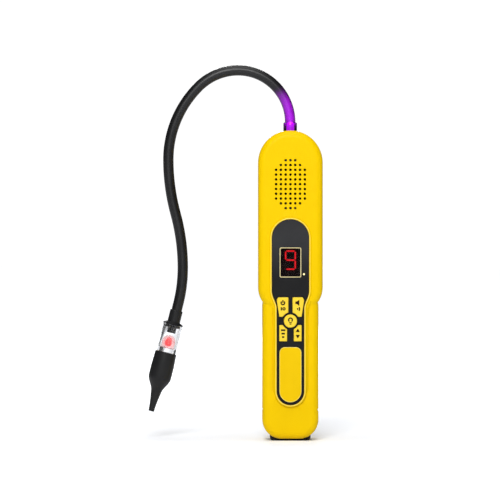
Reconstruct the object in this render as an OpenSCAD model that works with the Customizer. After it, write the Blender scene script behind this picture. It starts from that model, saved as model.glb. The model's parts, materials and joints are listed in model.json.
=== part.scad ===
// Hand-held refrigerant leak detector: a two-part moulded housing with a keypad
// and a one-digit display, a stiff gooseneck and a lit sensor head with a nozzle.
// Millimetres. +Z is up, -Y is the front, and the origin is under the base foot.

/* [Housing] */
// Width of the head
head_w = 41.8; // [38:0.2:48]
// Height of the top of the dome above the floor
head_top = 200.7; // [192:0.1:212]
// Lowest level of the head, where it runs out over the grip
head_bottom = 83; // [78:0.5:88]
// Corner radius of the head's lower end
head_corner = 16; // [12:0.5:18]
// From the parting plane to the head's front face
head_front = 15.5; // [14.8:0.1:17]
// From the parting plane to the head's back face
head_back = 14.8; // [14.4:0.1:17]
// Width of the grip
grip_w = 36.4; // [35:0.2:40]
// From the parting plane to the grip's front face
grip_front = 14.6; // [14.2:0.1:15.2]
// From the parting plane to the grip's back face
grip_back = 14.3; // [13.8:0.1:14.7]
// Height of the grip's lowest edge above the floor
grip_bottom = 1.3; // [0.8:0.1:2.5]
// Corner radius of the grip's lower end
grip_corner = 12.5; // [9:0.5:14]
// Radius of the front edges
front_edge = 4.5; // [3:0.25:5.5]
// Radius of the back edges
back_edge = 5.5; // [3:0.25:6.5]
// Wall of the shells
wall = 2.2; // [1.8:0.1:2.6]
// Thickness of the closed lower end
end_wall = 5.7; // [5:0.1:8]
// Open seam between the two shells
seam = 0.2; // [0.1:0.05:0.4]
// Height of the small notch in each side of the grip
notch_z = 20; // [16:0.5:30]
// Depth of that notch
notch_depth = 0.6; // [0.3:0.1:1]

/* [Foot] */
// Width of the base foot
foot_w = 26.5; // [22:0.5:29]
// Depth of the base foot
foot_d = 20; // [16:0.5:22]
// Height of the base foot
foot_h = 4.4; // [3.6:0.1:5]
// Corner radius of the base foot
foot_corner = 5; // [2:0.5:8]
// Radius of the foot's lower edge
foot_edge = 1.8; // [0.6:0.1:2.4]

/* [Panel] */
// Height of the top of the panel's arch
panel_top = 143.3; // [138:0.1:147]
// Width of the panel's upper part
panel_w = 24.1; // [22.5:0.1:27]
// Height where the panel starts to narrow
panel_waist = 97; // [95:0.5:100]
// Height where the panel reaches its lower width
panel_tail = 85.6; // [82:0.1:90]
// Width of the panel's lower part
panel_tail_w = 17.7; // [16.6:0.1:21]
// Height of the panel's rounded lower end
panel_bottom = 23.3; // [20:0.1:27]
// Thickness of the panel
panel_t = 0.8; // [0.6:0.1:0.9]
// Depth of the panel below the head's front face
panel_sink = 0.3; // [0.1:0.1:0.4]
// Width of the raised rim round the panel
rim_w = 1.5; // [1:0.1:2]
// Height of the rim above the head's front face
rim_h = 0.5; // [0.2:0.1:0.9]
// Width of the band that runs down beside the panel's tail
band_w = 2.8; // [2.4:0.1:4.4]
// Height of the label area's upper edge
label_top = 60.7; // [56:0.1:62]
// Height of the label area's lower end
label_bottom = 25.2; // [24.8:0.1:30]
// Width of the label area
label_w = 14.1; // [11:0.1:15]

/* [Display] */
// Height of the middle of the display
display_z = 115.4; // [112:0.1:119]
// Outside width of the pale frame
frame_w = 13.9; // [13.2:0.1:15.5]
// Outside height of the pale frame
frame_h = 19.3; // [18.2:0.1:21]
// Width of the frame's line
frame_line = 0.5; // [0.4:0.1:1.2]
// Height of the digit
digit_h = 12.7; // [11:0.1:14]
// Width of the digit
digit_w = 7.2; // [6:0.1:8]
// Width of one stroke of the digit
stroke = 1; // [0.8:0.1:1.7]
// Diameter of the indicator lamp
lamp_d = 1.1; // [0.9:0.1:1.8]
// Indicator lamp to the right of the centre line
lamp_x = 8.7; // [8.6:0.1:9.4]
// Indicator lamp below the middle of the display
lamp_drop = 7.6; // [0:0.1:9]

/* [Keys] */
// Height of the middle of the round key
key_z = 77.6; // [75:0.1:79]
// Diameter of the round key
round_key_d = 8.5; // [7.4:0.1:9.2]
// Radius of the ring that the other keys leave free
key_ring_r = 5.6; // [5:0.1:6]
// Height of the upper keys' top edge above the round key
upper_key_top = 15.3; // [13:0.1:16.5]
// Height of the upper keys' lower edge above the round key
upper_key_low = 2.7; // [2.2:0.1:4]
// Half the space between the upper keys
upper_key_in = 1.35; // [1.1:0.05:1.8]
// Outer edge of the upper keys at the top, from the centre line
upper_key_out = 8.9; // [8.2:0.1:9.1]
// Depth of the lower keys' top edge below the round key
lower_key_top = 2.6; // [2.2:0.1:4]
// Depth of the lower keys' lower edge below the round key
lower_key_low = 13.1; // [11:0.1:14]
// Half the space between the lower keys
lower_key_in = 2.15; // [1.8:0.05:2.6]
// Outer edge of the lower keys, from the centre line
lower_key_out = 7.2; // [6.8:0.1:7.4]
// Corner radius of the keys
key_corner = 0.7; // [0.3:0.1:1]
// How far the keys stand out of the panel
key_rise = 0.8; // [0.6:0.1:1.2]
// How far a key can be pressed
key_travel = 0.5; // [0.3:0.05:0.6]
// Width of the lip that keeps a key in
key_lip = 0.35; // [0.25:0.05:0.4]

/* [Grille] */
// Height of the middle of the grille
grille_z = 165.9; // [162:0.1:168]
// Distance between holes
grille_pitch = 3.09; // [2.8:0.01:3.2]
// Diameter of a hole
grille_d = 1.7; // [1:0.05:1.8]

/* [Gooseneck] */
// Diameter of the gooseneck
neck_d = 6.8; // [5.6:0.1:7]
// Radius of the arch next to the housing
arch_r = 33.8; // [30:0.1:40]
// Radius just past the top of the arch
crown_r = 36.4; // [32:0.1:42]
// Radius down the far side of the arch
fall_r = 67; // [60:0.5:74]
// Radius of the two bends of the slow S
sway_r = 133.5; // [110:0.5:150]
// Turn of each bend of the slow S, in degrees
sway_turn = 15.24; // [8:0.01:20]
// Radius of the last bend
lead_r = 95; // [80:1:120]
// Tilt of the sensor head, in degrees
head_tilt = 14.2; // [5:0.1:20]
// Diameter of the gland on the housing
gland_d = 8.8; // [8.4:0.1:9.6]
// Height of the gland above the dome
gland_h = 5.5; // [4:0.1:8]
// Diameter of the ultraviolet lamp
uv_d = 5; // [3:0.1:5.4]
// Height of the ultraviolet lamp above the dome
uv_h = 6; // [3.6:0.1:6.5]

/* [Sensor head] */
// Bare neck before the ferrule
lead_l = 4.5; // [2:0.1:8]
// Diameter of the ferrule
ferrule_d = 8.2; // [8:0.1:8.8]
// Length of the ferrule
ferrule_l = 7.9; // [7:0.1:12]
// Diameter of the flange above the clear cap
flange_d = 13.3; // [12.8:0.1:15]
// Thickness of that flange
flange_t = 1.6; // [1.4:0.1:4]
// Length of the stub inside the clear cap
stub_l = 5.6; // [4:0.1:5.7]
// Diameter of that stub
stub_d = 5.6; // [5.2:0.1:7]
// Diameter of the red lamp
alarm_d = 8.4; // [7:0.1:8.5]
// Length of the red lamp
alarm_l = 8.6; // [6.5:0.1:8.8]
// Outside diameter of the clear cap
cap_d = 12.6; // [12.2:0.1:13.2]
// Visible length of the clear cap
cap_l = 18.8; // [17.5:0.1:22]
// Thickness of the clear cap's floor, under the red lamp
cap_floor_t = 3.1; // [1.2:0.1:3.2]
// Wall of the clear cap
cap_wall = 1.1; // [0.8:0.1:1.4]
// Length of the cap's spigot inside the nozzle
spigot_l = 5; // [4:0.1:6]
// Diameter of the nozzle's upper edge
nozzle_top_d = 14; // [13:0.1:14.5]
// Largest diameter of the nozzle
nozzle_max_d = 14.8; // [13.2:0.1:15.5]
// Diameter where the shoulder ends
nozzle_neck_d = 6.7; // [5:0.1:7]
// Diameter of the nozzle's tip
nozzle_tip_d = 3.7; // [2.8:0.1:4]
// Length of the nozzle
nozzle_l = 39.3; // [37:0.1:48]
// Length of the nozzle's barrel
barrel_l = 16; // [15:0.1:18]
// Length of the nozzle's shoulder
shoulder_l = 11; // [9:0.1:13]
// Diameter of the inlet in the tip
inlet_d = 1.8; // [1.2:0.1:2]

/* [Inside] */
// Diameter of the battery cell
cell_d = 18.4; // [14:0.1:18.6]
// Length of the battery cell
cell_l = 65; // [48:0.5:68]
// Width of the circuit board
board_w = 27; // [25.5:0.1:28]
// Thickness of the circuit board
board_t = 1.4; // [1:0.1:1.6]
// Front of the circuit board, from the parting plane
board_front = 8.5; // [8.2:0.1:9]
// Height of a switch on the board
switch_h = 2; // [1.8:0.1:2.1]
// Diameter of a switch's plunger
plunger_d = 3.2; // [2.4:0.1:3.6]
// Diameter of the speaker
speaker_d = 33; // [28:0.5:33.5]
// Depth of the speaker
speaker_h = 7.2; // [6:0.1:8]
// Diameter of the case screws
screw_d = 2.2; // [1.8:0.1:2.5]
// Diameter of the screws' heads
screw_head_d = 4.2; // [3.6:0.1:4.4]

/* [Fits] */
// Clearance between fixed pieces
fit = 0.1; // [0.05:0.05:0.2]
// Clearance round a key
key_gap = 0.2; // [0.15:0.05:0.25]

/* [Hidden] */
$fn = 64;
KEYS = ["upper_left", "upper_right", "round", "lower_left", "lower_right"];

yellow = [0.99, 0.84, 0.02];
charcoal = [0.2, 0.2, 0.21];
black = [0.08, 0.08, 0.08];

far = 300;
eps = 0.01;
arc_steps = 9;
// How far ribs, posts and rims run into the wall that carries them
root = 1;
// Thickness of the ribs inside the shells
rib_t = 2;
// Gap between the packed inner parts and the wall
pack_gap = 0.3;
head_r = head_w / 2;
floor_z = grip_bottom + end_wall;
panel_y = -head_front + panel_sink;
panel_floor_y = panel_y + panel_t;
rim_y = -head_front - rim_h;
inner_front_y = -grip_front + wall;
inner_head_y = -head_front + wall;
inner_back_y = grip_back - wall;
inner_grip_r = grip_w / 2 - wall;
board_y = -board_front + board_t;
lamp_z = display_z - lamp_drop;
key_y = panel_y - key_rise;
switch_y = -board_front - switch_h;
plunger_y = switch_y - key_travel - fit;

// Shapes that are drawn in the front view

// Extrudes a front-view drawing from depth y0 back to depth y1
module plate(y0, y1) {
    translate([0, y1, 0]) rotate([90, 0, 0]) linear_extrude(y1 - y0) children();
}

// A round bar along the depth
module rod(d, x, z, y0, y1) {
    plate(y0, y1) translate([x, z]) circle(d = d);
}

module round_rect(w, h, r) {
    offset(r = r) square([w - 2 * r, h - 2 * r], center = true);
}

// A solid of revolution from a list of [radius, height] points
module lathe(points) {
    rotate_extrude() polygon(points);
}

function arc(cx, cy, r, a0, a1, n = arc_steps) =
    [for (i = [0:n]) let (a = a0 + (a1 - a0) * i / n) [cx + r * cos(a), cy + r * sin(a)]];

// Section of a slab from its middle out to a rounded edge: [outwards, forwards]
function edge_section(reach, front, back, r_front, r_back) = concat(
    [[0, -back]],
    arc(reach - r_back, r_back - back, r_back, -90, 0),
    arc(reach - r_front, front - r_front, r_front, 0, 90),
    [[0, front]]
);

// Quarter of a slab's corner, turned about an axis along the depth
module slab_corner(r, front, back, r_front, r_back, turn) {
    rotate([90, 0, 0]) rotate_extrude(angle = turn)
        polygon(edge_section(r, front, back, r_front, r_back));
}

// A slab standing on edge, with round corners in the front view and rounded edges
module slab(half_w, low, high, r_low, r_high, front, back, r_front, r_back) {
    section = edge_section(half_w, front, back, r_front, r_back);
    translate([0, 0, low + r_low]) linear_extrude(high - r_high - low - r_low) union() {
        polygon([for (p = section) [p[0], -p[1]]]);
        polygon([for (p = section) [-p[0], -p[1]]]);
    }
    if (half_w - r_high < eps)
        translate([0, 0, high - r_high]) slab_corner(r_high, front, back, r_front, r_back, 180);
    else
        slab_end(half_w, high - r_high, r_high, front, back, r_front, r_back);
    mirror([0, 0, 1]) slab_end(half_w, -low - r_low, r_low, front, back, r_front, r_back);
}

// A slab's end with two round corners
module slab_end(half_w, start, r, front, back, r_front, r_back) {
    for (side = [0, 1]) mirror([side, 0, 0])
        translate([half_w - r, 0, start]) slab_corner(r, front, back, r_front, r_back, 90);
    translate([r - half_w, 0, start]) rotate([90, 0, 90]) linear_extrude(2 * (half_w - r))
        polygon([for (p = edge_section(r, front, back, r_front, r_back)) [-p[1], p[0]]]);
}

// The whole housing, or its hollow when it is drawn inset by the wall
module housing(inset) {
    slab(head_r - inset, head_bottom + inset, head_top - inset,
        head_corner - inset, head_r - inset, head_front - inset, head_back - inset,
        front_edge - inset, back_edge - inset);
    slab(grip_w / 2 - inset, inset > 0 ? floor_z : grip_bottom, head_bottom + head_corner,
        grip_corner - inset, grip_corner - inset, grip_front - inset, grip_back - inset,
        front_edge - inset, back_edge - inset);
}

module front_space() {
    translate([-far, -far, -far]) cube([2 * far, far - seam / 2, 2 * far]);
}

module rear_space() {
    translate([-far, seam / 2, -far]) cube([2 * far, far, 2 * far]);
}

// Outline of the panel
panel_r = panel_w / 2;
tail_r = panel_tail_w / 2;
waist_steps = 10;
function panel_side() = [
    for (i = [0:waist_steps])
        let (s = i / waist_steps)
        [tail_r + (panel_r - tail_r) * (1 + cos(180 * s)) / 2,
            panel_waist - (panel_waist - panel_tail) * s]
];
module panel_outline() {
    side = panel_side();
    polygon(concat(
        arc(0, panel_top - panel_r, panel_r, 180, 0, 24),
        side,
        arc(0, panel_bottom + tail_r, tail_r, 0, -180, 20),
        [for (i = [waist_steps:-1:0]) [-side[i][0], side[i][1]]]
    ));
}

module label_outline() {
    r = label_w / 2;
    union() {
        translate([-r, label_bottom + r]) square([label_w, label_top - label_bottom - 2 * r]);
        translate([0, label_bottom + r]) circle(r);
        translate([0, label_top - r]) round_rect(label_w, label_w, r / 2);
    }
}

// Chamfer of the upper keys' outer top corner: [across, down]
upper_key_cut = [1, 1.8];
// Front view of each key
module upper_key() {
    difference() {
        polygon([
            [upper_key_in, key_z + upper_key_top],
            [upper_key_out - upper_key_cut[0], key_z + upper_key_top],
            [upper_key_out, key_z + upper_key_top - upper_key_cut[1]],
            [lower_key_out, key_z + upper_key_low],
            [upper_key_in, key_z + upper_key_low]
        ]);
        translate([0, key_z]) circle(key_ring_r);
    }
}

module lower_key() {
    difference() {
        translate([lower_key_in, key_z - lower_key_low])
            square([lower_key_out - lower_key_in, lower_key_low - lower_key_top]);
        translate([0, key_z]) circle(key_ring_r);
    }
}

module key_outline(name) {
    if (name == "round") translate([0, key_z]) circle(d = round_key_d);
    else offset(r = key_corner) offset(delta = -key_corner)
        mirror([name == "upper_left" || name == "lower_left" ? 1 : 0, 0])
            if (name == "upper_left" || name == "upper_right") upper_key();
            else lower_key();
}

// Where a key presses its switch, a little past its middle
press_shift = 1;
upper_key_mid = [(upper_key_in + upper_key_out) / 2,
    key_z + (upper_key_top + upper_key_low) / 2 + press_shift];
lower_key_mid = [(lower_key_in + lower_key_out) / 2,
    key_z - (lower_key_top + lower_key_low) / 2 - press_shift];
function key_place(name) =
    name == "round" ? [0, key_z] :
    name == "upper_left" ? [-upper_key_mid[0], upper_key_mid[1]] :
    name == "upper_right" ? upper_key_mid :
    name == "lower_left" ? [-lower_key_mid[0], lower_key_mid[1]] : lower_key_mid;

// Cuts in the front of the housing. A row of the grille has this many holes each side of its middle
grille_rows = [1, 2, 3, 3, 3, 3, 3, 3, 3, 2, 1];
module grille_holes() {
    for (row = [0:len(grille_rows) - 1], col = [-grille_rows[row]:grille_rows[row]])
        rod(grille_d, col * grille_pitch,
            grille_z + ((len(grille_rows) - 1) / 2 - row) * grille_pitch, -far, inner_head_y + eps);
}

module key_openings(y0, y1) {
    plate(y0, y1) for (name = KEYS) offset(delta = key_gap) key_outline(name);
}

frame_corner = 1;
module display_opening(y0, y1, gap) {
    plate(y0, y1) translate([0, display_z])
        round_rect(frame_w + 2 * gap, frame_h + 2 * gap, frame_corner + gap);
}

// Screw posts that join the shells
post_wall = 1.2;
post_d = screw_head_d + 2 * post_wall;
post_bite = 0.4;
post_rise = 9;
post_x = inner_grip_r - post_d / 2 + post_bite;
post_low_z = floor_z + post_rise;
// Place of the upper posts in the dome, as a part of its radius
post_high_x = 0.61 * head_r;
post_high_z = head_top - 0.5 * head_r;
screw_grip = 4;
screw_reach = 6;
screw_posts = [[post_x, post_low_z], [-post_x, post_low_z],
    [post_high_x, post_high_z], [-post_high_x, post_high_z]];
screw_seat_y = inner_back_y - screw_grip;
screw_tip_y = screw_seat_y - screw_grip - screw_reach;
screw_head_h = 1.6;
module posts(d, y0, y1) {
    for (p = screw_posts) rod(d, p[0], p[1], y0, y1);
}

// Posts that carry the circuit board
board_past_keys = 6;
board_past_frame = 9;
board_low = key_z - lower_key_low - board_past_keys;
board_high = display_z + frame_h / 2 + board_past_frame;
board_corner = 1.5;
board_post_d = 5;
board_pilot_d = 1.6;
board_pilot_l = 3;
board_hole_in = 3;
board_holes = [for (x = [-1, 1], z = [board_low + board_hole_in, board_high - board_hole_in])
    [x * (board_w / 2 - board_hole_in), z]];

// Raised band beside the panel's tail: level with the head above, it runs out into the grip below
module tail_band() {
    high = head_bottom + head_corner / 2;
    low = panel_bottom + tail_r;
    intersection() {
        plate(-head_front, panel_floor_y + root / 2) offset(r = band_w) panel_outline();
        rotate([90, 0, 90]) translate([0, 0, -far]) linear_extrude(2 * far)
            polygon([[-head_front, high], [-grip_front, low], [0, low], [0, high]]);
    }
}

// Fine groove down each outer edge of that band
groove_w = 0.5;
groove_depth = 0.4;
module band_grooves() {
    low = panel_bottom + tail_r;
    for (side = [-1, 1])
        translate([side * (tail_r + band_w) - groove_w / 2, -far, low])
            cube([groove_w, far - grip_front + groove_depth, head_bottom - low]);
}

// Raised rim round the panel, rounded over in steps
rim_steps = 3;
module panel_rim() {
    for (i = [0:rim_steps]) {
        a = 90 * i / rim_steps;
        plate(rim_y + rim_h * (1 - cos(a)), panel_floor_y + root / 2)
            offset(r = rim_w - rim_h * (1 - sin(a))) panel_outline();
    }
}

// Notch in each side of the grip
module side_notches() {
    notch_d = 4 * notch_depth;
    for (side = [-1, 1])
        rod(notch_d, side * (grip_w / 2 + notch_d / 2 - notch_depth), notch_z, -far, far);
}

// Lip on the rear shell that runs round the seam and sits in a rebate of the front shell
lip_t = wall / 2;
lip_h = 1.2;
module seam_band(y0, y1) {
    translate([-far, y0, -far]) cube([2 * far, y1 - y0, 2 * far]);
}

module seam_lip() {
    difference() {
        intersection() {
            housing(wall - lip_t);
            seam_band(-lip_h, root);
        }
        housing(wall);
        posts(post_d + 2 * lip_t, -far, 0);
        socket_opening();
    }
}

module seam_rebate() {
    intersection() {
        housing(wall - lip_t - fit);
        seam_band(-lip_h - fit, 0);
    }
}

module front_shell() {
    color(yellow) difference() {
        union() {
            intersection() {
                difference() {
                    union() {
                        housing(0);
                        tail_band();
                        panel_rim();
                    }
                    housing(wall);
                    seam_rebate();
                }
                front_space();
            }
            intersection() {
                union() {
                    posts(post_d, -grip_front + root, -seam / 2);
                    speaker_wall();
                    for (p = board_holes) rod(board_post_d, p[0], p[1], -grip_front + root, -board_front);
                }
                housing(root);
            }
        }
        plate(-far, panel_floor_y) offset(r = fit) panel_outline();
        key_openings(-far, inner_front_y + root);
        display_opening(-far, inner_head_y + root, fit);
        rod(lamp_d + 2 * fit, lamp_x, lamp_z, -far, inner_head_y + root);
        grille_holes();
        band_grooves();
        side_notches();
        foot_pocket();
        gland_hole();
        uv_hole();
        posts(screw_d + fit, screw_tip_y - root, 0);
        for (p = board_holes) rod(board_pilot_d, p[0], p[1], -board_front - board_pilot_l, 0);
        socket_opening();
    }
}

module rear_shell() {
    color(yellow) difference() {
        union() {
            intersection() {
                difference() {
                    housing(0);
                    housing(wall);
                }
                rear_space();
            }
            seam_lip();
            intersection() {
                union() {
                    posts(post_d, seam / 2, grip_back - root);
                    cell_cradle();
                    pump_cradle();
                }
                housing(root);
            }
        }
        posts(screw_d + 2 * fit, 0, far);
        posts(screw_head_d + 2 * fit, screw_seat_y, far);
        side_notches();
        foot_pocket();
        gland_hole();
    }
}

// Base foot, with a sole that is rounded in steps
foot_steps = 5;
module foot_outline(grow) {
    offset(r = foot_corner + grow)
        square([foot_w - 2 * foot_corner, foot_d - 2 * foot_corner], center = true);
}

module foot_pocket() {
    translate([0, 0, -far]) linear_extrude(far + foot_h + fit) foot_outline(fit);
}

module base_foot() {
    color(black) union() for (i = [0:foot_steps]) {
        a = 90 * i / foot_steps;
        translate([0, 0, foot_edge - foot_edge * cos(a)])
            linear_extrude(foot_h - foot_edge + foot_edge * cos(a))
                foot_outline(-foot_edge * (1 - sin(a)));
    }
}

// Panel, label and display
module control_panel() {
    color(charcoal) difference() {
        plate(panel_y, panel_floor_y) panel_outline();
        key_openings(-far, far);
        display_opening(-far, far, fit);
        rod(lamp_d + 2 * fit, lamp_x, lamp_z, -far, far);
        plate(-far, panel_y + panel_t / 2) offset(r = fit) label_outline();
    }
}

module label_plate() {
    color(yellow) plate(panel_y - fit, panel_y + panel_t / 2) label_outline();
}

window_corner = 0.5;
module display_frame() {
    color("white") plate(panel_y - fit, panel_floor_y) translate([0, display_z]) difference() {
        round_rect(frame_w, frame_h, frame_corner);
        round_rect(frame_w - 2 * frame_line, frame_h - 2 * frame_line, window_corner + fit);
    }
}

window_w = frame_w - 2 * frame_line - 2 * fit;
window_h = frame_h - 2 * frame_line - 2 * fit;
module display_window() {
    color([0.1, 0.02, 0.02, 0.6]) plate(panel_y, panel_floor_y)
        translate([0, display_z]) round_rect(window_w, window_h, window_corner);
}

segment_t = 0.3;
module display_module() {
    color(black) difference() {
        plate(panel_floor_y + fit, -board_front) translate([0, display_z])
            round_rect(frame_w - fit, frame_h - fit, frame_corner);
        segments(["a", "b", "c", "d", "e", "f", "g"], panel_floor_y, panel_floor_y + segment_t + fit);
    }
}

digit_rise = 1.5;
segment_gap = 0.25;
function segment_box(s) =
    let (w = digit_w / 2 - stroke / 2, h = digit_h / 2 - stroke / 2, c = stroke / 2 + segment_gap)
    s == "a" ? [[-w + c, h], [w - c, h]] :
    s == "b" ? [[w, c], [w, h - c]] :
    s == "c" ? [[w, -h + c], [w, -c]] :
    s == "d" ? [[-w + c, -h], [w - c, -h]] :
    s == "e" ? [[-w, -h + c], [-w, -c]] :
    s == "f" ? [[-w, c], [-w, h - c]] : [[-w + c, 0], [w - c, 0]];
// A stroke of the digit: a bar with pointed ends
module segments(list, y0, y1) {
    plate(y0, y1) translate([0, display_z + digit_rise]) for (s = list) {
        ends = segment_box(s);
        across = ends[0][1] == ends[1][1] ? [0, stroke / 2] : [stroke / 2, 0];
        along = ends[0][1] == ends[1][1] ? [stroke / 2, 0] : [0, stroke / 2];
        polygon([ends[0] - along, ends[0] + across, ends[1] + across,
            ends[1] + along, ends[1] - across, ends[0] - across]);
    }
}

module lit_segments() {
    color("red") segments(["a", "b", "c", "d", "f", "g"],
        panel_floor_y + fit, panel_floor_y + segment_t + fit);
}

module dark_segment() {
    color([0.25, 0.05, 0.05]) segments(["e"], panel_floor_y + fit, panel_floor_y + segment_t + fit);
}

lamp_flange = 1;
module indicator_lamp() {
    color("khaki") union() {
        rod(lamp_d, lamp_x, lamp_z, panel_y - fit, -board_front);
        rod(lamp_d + lamp_flange, lamp_x, lamp_z, -board_front - lamp_flange, -board_front);
    }
}

// Keys and their switches
module key(name) {
    color([1, 0.88, 0.1]) union() {
        plate(key_y, inner_front_y + key_gap) key_outline(name);
        plate(inner_front_y + key_gap, plunger_y) offset(r = key_lip) key_outline(name);
    }
}

// Length of a plunger inside its switch
plunger_in = 1;
module plunger(name) {
    p = key_place(name);
    color(black) rod(plunger_d, p[0], p[1], plunger_y, switch_y + plunger_in);
}

switch_w = 4.5;
module switch_bases() {
    color([0.3, 0.3, 0.32]) for (name = KEYS) {
        p = key_place(name);
        difference() {
            plate(switch_y, -board_front) translate(p) square(switch_w, center = true);
            rod(plunger_d + 2 * fit, p[0], p[1], -far, switch_y + plunger_in + key_travel + fit);
        }
    }
}

// Circuit board
module circuit_board() {
    color([0.05, 0.35, 0.2]) difference() {
        plate(-board_front, board_y) translate([0, (board_low + board_high) / 2])
            round_rect(board_w, board_high - board_low, board_corner);
        for (p = board_holes) rod(board_pilot_d + 4 * fit, p[0], p[1], -far, far);
    }
}

board_head_d = 3.4;
board_head_h = 1.2;
module board_screws() {
    color("silver") for (p = board_holes) union() {
        rod(board_pilot_d - fit, p[0], p[1], -board_front - board_pilot_l + 5 * fit,
            board_y + board_head_h / 2);
        rod(board_head_d, p[0], p[1], board_y, board_y + board_head_h);
    }
}

// Speaker, held in a round wall behind the grille
speaker_rim = 1.6;
speaker_edge = 1.2;
speaker_wall_t = 1.2;
speaker_wall_y = 8;
magnet_r = speaker_d * 0.3;
magnet_h = 3;
module speaker_wall() {
    bore = speaker_d / 2 + fit;
    rotate([90, 0, 0]) translate([0, grille_z, speaker_wall_y]) difference() {
        cylinder(r = bore + speaker_wall_t, h = head_front - root - speaker_wall_y);
        translate([0, 0, -root]) cylinder(r = bore, h = head_front);
    }
}

module speaker_place() {
    translate([0, inner_head_y + fit, grille_z]) rotate([-90, 0, 0]) children();
}

module speaker_frame() {
    r = speaker_d / 2;
    basket = speaker_h - magnet_h;
    skin = 0.6;
    color([0.3, 0.3, 0.33]) speaker_place() lathe([
        [r - speaker_rim, 0], [r, 0], [r, speaker_edge], [magnet_r + speaker_rim, basket],
        [magnet_r, basket], [magnet_r, speaker_h], [0, speaker_h], [0, basket + skin],
        [magnet_r + skin, basket - skin], [r - speaker_rim, speaker_edge]
    ]);
}

module speaker_cone() {
    lip = speaker_d / 2 - speaker_rim - fit;
    paper = 0.35;
    throat = 2;
    cup = throat - paper;
    roll = 1.5;
    // Front of the cone, from its dust cap out to the rolled edge
    front = [[0, cup], [lip / 2, throat], [lip - roll, paper], [lip, 2 * paper]];
    color([0.12, 0.12, 0.13]) speaker_place() lathe(concat(
        front, [for (i = [len(front) - 1:-1:0]) front[i] + [0, paper]]
    ));
}

// Battery cell along the grip, in two cradle ribs of the rear shell
cell_y = inner_back_y - cell_d / 2 - pack_gap;
cell_lift = 3;
cell_low = floor_z + cell_lift;
cell_rib_in = 8;
cell_button_d = 6.4;
cell_button_h = 1;
tab = [6, 12, 0.3];
module cell_cradle() {
    rib_w = 2 * (inner_grip_r + root);
    for (z = [cell_low + cell_rib_in, cell_low + cell_l - cell_rib_in - rib_t])
        translate([0, 0, z]) difference() {
            translate([-rib_w / 2, cell_y + root, 0]) cube([rib_w, grip_back - root - cell_y, rib_t]);
            translate([0, cell_y, -rib_t / 2]) cylinder(d = cell_d + 2 * fit, h = 2 * rib_t);
        }
}

module battery_cell() {
    color([0.15, 0.35, 0.6]) translate([0, cell_y, cell_low]) union() {
        cylinder(d = cell_d, h = cell_l - cell_button_h);
        cylinder(d = cell_button_d, h = cell_l);
    }
}

module battery_tabs() {
    color("silver") for (z = [cell_low - tab[2], cell_low + cell_l])
        translate([-tab[0] / 2, cell_y - tab[1] / 2, z]) cube(tab);
}

// Charging socket on the right side, on the back of the board
socket_w = 9;
socket_t = 3.2;
socket_l = 7.3;
socket_out = 1;
socket_wall = 0.35;
socket_tongue = [6.6, 0.7];
socket_drop = 12;
socket_z = board_high - socket_drop;
socket_x = head_r - wall;
module socket_opening() {
    translate([socket_x - socket_l, board_y + fit + socket_t / 2, socket_z])
        rotate([0, 90, 0]) linear_extrude(far)
            round_rect(socket_w + 4 * fit, socket_t + 4 * fit, socket_t / 2);
}

module socket_section(inset) {
    w = socket_w - 2 * inset;
    t = socket_t - 2 * inset;
    round_rect(w, t, t / 2 - fit);
}

module charge_socket() {
    color("silver") translate([socket_x - socket_l, board_y + fit + socket_t / 2, socket_z])
        rotate([0, 90, 0]) union() {
            difference() {
                linear_extrude(socket_l + socket_out) socket_section(0);
                translate([0, 0, root]) linear_extrude(socket_l + socket_out) socket_section(socket_wall);
            }
            translate([0, 0, root / 2]) linear_extrude(socket_l - root)
                square(socket_tongue, center = true);
        }
}

// Air pump behind the speaker, and its hose up to the gooseneck
pump_w = 20;
pump_t = 14;
pump_l = 26;
pump_past_display = 20;
pump_low = display_z + pump_past_display;
pump_y = head_back - wall - pump_t / 2 - pack_gap;
pump_head_w = 14;
pump_head_h = 9;
pump_rib_in = 4;
pump_spout = 5;
hose_d = 4;
hose_bore = 2.4;
module pump_section() {
    intersection() {
        circle(d = pump_w);
        square([pump_w, pump_t], center = true);
    }
}

module pump_cradle() {
    rib_w = pump_w + 2 * rib_t;
    for (z = [pump_low + pump_rib_in, pump_low + pump_l - pump_rib_in - rib_t])
        translate([0, 0, z]) difference() {
            translate([-rib_w / 2, pump_y + rib_t, 0])
                cube([rib_w, head_back - root - pump_y - rib_t, rib_t]);
            translate([0, pump_y, -rib_t / 2]) linear_extrude(2 * rib_t) offset(delta = fit) pump_section();
        }
}

module air_pump() {
    color("silver") union() {
        translate([0, pump_y, pump_low]) linear_extrude(pump_l) pump_section();
        translate([0, pump_y, pump_low + pump_l]) linear_extrude(pump_head_h)
            square([pump_head_w, pump_t], center = true);
        translate([0, 0, pump_low + pump_l + pump_head_h]) cylinder(d = hose_bore, h = pump_spout);
    }
}

module pump_hose() {
    low = pump_low + pump_l + pump_head_h;
    color([0.8, 0.8, 0.75]) translate([0, 0, low]) difference() {
        cylinder(d = hose_d, h = gland_low - low);
        translate([0, 0, -root]) cylinder(d = hose_bore + fit, h = far);
    }
}

// Gland in the top of the dome, clamped between the shells
gland_lip = 1;
gland_lip_t = 3;
gland_drop = 1.6;
gland_chamfer = 0.6;
gland_low = head_top - wall - gland_drop - gland_lip_t;
dome_cut_l = 8;
dome_cut_z = head_top - wall - dome_cut_l;
neck_start = head_top + gland_h;
neck_root = 7;
duct_d = 2.6;
module gland_hole() {
    translate([0, 0, dome_cut_z]) cylinder(d = gland_d + 2 * fit, h = far);
}

module neck_gland() {
    r = gland_d / 2;
    bore = neck_d / 2 + fit;
    color(black) lathe([
        [duct_d / 2, gland_low], [r + gland_lip, gland_low], [r + gland_lip, gland_low + gland_lip_t],
        [r, gland_low + gland_lip_t], [r, neck_start - gland_chamfer], [r - gland_chamfer, neck_start],
        [bore, neck_start], [bore, neck_start - neck_root - fit],
        [duct_d / 2, neck_start - neck_root - fit]
    ]);
}

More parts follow.
